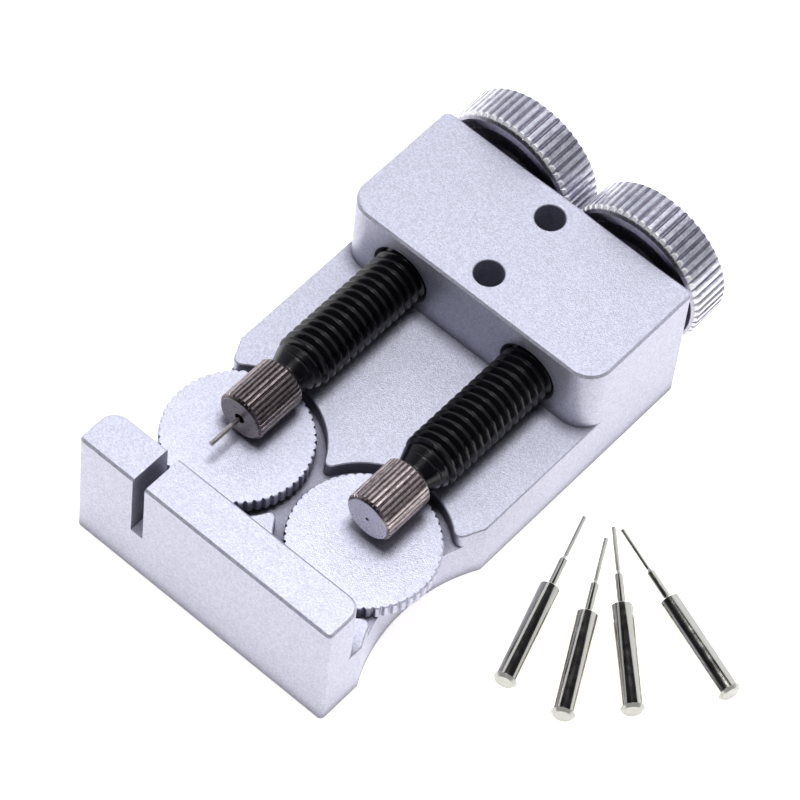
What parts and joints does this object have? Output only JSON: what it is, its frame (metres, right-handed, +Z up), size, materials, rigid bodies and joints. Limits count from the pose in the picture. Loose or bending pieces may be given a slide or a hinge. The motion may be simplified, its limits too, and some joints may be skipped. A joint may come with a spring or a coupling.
{
  "type": "watch bracelet pin remover",
  "caption": "Screw-feed bench tool that pushes link pins out of and into a watch bracelet: slotted fence, turning height-adjustable tables, knurled knobs, spare pins beside it.",
  "frame": {"origin": "centre of the base's flat underside", "axes": "+Z up, +Y along the spindles from the fence towards the knobs, +X to the right seen from the fence"},
  "size_m": [0.0587, 0.0578, 0.0188],
  "materials": {
    "casting": "fine bead-blasted satin silver",
    "table_alloy": "fine bead-blasted satin silver",
    "black_steel": "semi-gloss black oxide",
    "knob_nickel": "bright nickel, straight knurl",
    "dark_nickel": "dark nickel, straight knurl",
    "pin_steel": "bright ground steel",
    "stud_steel": "zinc plated",
    "ring_nylon": "natural nylon"
  },
  "bodies": {
    "frame": {"body_casting": "casting"},
    "pin_left": {"push_pin": "pin_steel"},
    "spindle_left": {"spindle_left": "black_steel", "knob_left": "knob_nickel", "chuck_cap_left": "dark_nickel"},
    "press_cap": {"press_cap_right": "dark_nickel"},
    "spindle_right": {"spindle_right": "black_steel", "knob_right": "knob_nickel", "swivel_ring": "stud_steel"},
    "ring_left": {"table_ring_left": "ring_nylon"},
    "table_left": {"table_left": "table_alloy", "table_stud_left": "stud_steel"},
    "ring_right": {"table_ring_right": "ring_nylon"},
    "table_right": {"table_right": "table_alloy", "table_stud_right": "stud_steel"},
    "spare_pin_1": {"spare_pin_1": "pin_steel"},
    "spare_pin_2": {"spare_pin_2": "pin_steel"},
    "spare_pin_3": {"spare_pin_3": "pin_steel"},
    "spare_pin_4": {"spare_pin_4": "pin_steel"}
  },
  "joints": [
    {"name": "left_feed", "type": "slide", "parent": "frame", "child": "pin_left", "axis": [0, 1, 0], "range_m": [-0.0005, 0.013]},
    {"name": "left_turn", "type": "hinge", "parent": "pin_left", "child": "spindle_left", "pos_m": [-0.0081, 0, 0.0108], "axis": [0, 1, 0], "range_deg": [-180, 4680]},
    {"name": "right_feed", "type": "slide", "parent": "frame", "child": "press_cap", "axis": [0, 1, 0], "range_m": [-0.0005, 0.013]},
    {"name": "right_turn", "type": "hinge", "parent": "press_cap", "child": "spindle_right", "pos_m": [0.0081, 0, 0.0108], "axis": [0, 1, 0], "range_deg": [-180, 4680]},
    {"name": "left_table_lift", "type": "slide", "parent": "frame", "child": "ring_left", "axis": [0, 0, 1], "range_m": [-0.0007, 0.0000875]},
    {"name": "left_table_turn", "type": "hinge", "parent": "ring_left", "child": "table_left", "pos_m": [-0.0081, -0.0122, 0.006], "axis": [0, 0, 1], "range_deg": [-360, 45]},
    {"name": "right_table_lift", "type": "slide", "parent": "frame", "child": "ring_right", "axis": [0, 0, 1], "range_m": [0, 0.000875]},
    {"name": "right_table_turn", "type": "hinge", "parent": "ring_right", "child": "table_right", "pos_m": [0.0081, -0.0122, 0.006], "axis": [0, 0, 1], "range_deg": [0, 450]},
    {"name": "pick_up_pin_1", "type": "slide", "parent": "frame", "child": "spare_pin_1", "axis": [0, 0, 1], "range_m": [0, 0.03]},
    {"name": "pick_up_pin_2", "type": "slide", "parent": "frame", "child": "spare_pin_2", "axis": [0, 0, 1], "range_m": [0, 0.03]},
    {"name": "pick_up_pin_3", "type": "slide", "parent": "frame", "child": "spare_pin_3", "axis": [0, 0, 1], "range_m": [0, 0.03]},
    {"name": "pick_up_pin_4", "type": "slide", "parent": "frame", "child": "spare_pin_4", "axis": [0, 0, 1], "range_m": [0, 0.03]}
  ],
  "couplings": [
    {"joint": "left_turn", "follows": "left_feed", "rad_per_m": 6283.2},
    {"joint": "right_turn", "follows": "right_feed", "rad_per_m": 6283.2},
    {"joint": "left_table_turn", "follows": "left_table_lift", "rad_per_m": 8976},
    {"joint": "right_table_turn", "follows": "right_table_lift", "rad_per_m": 8976}
  ]
}
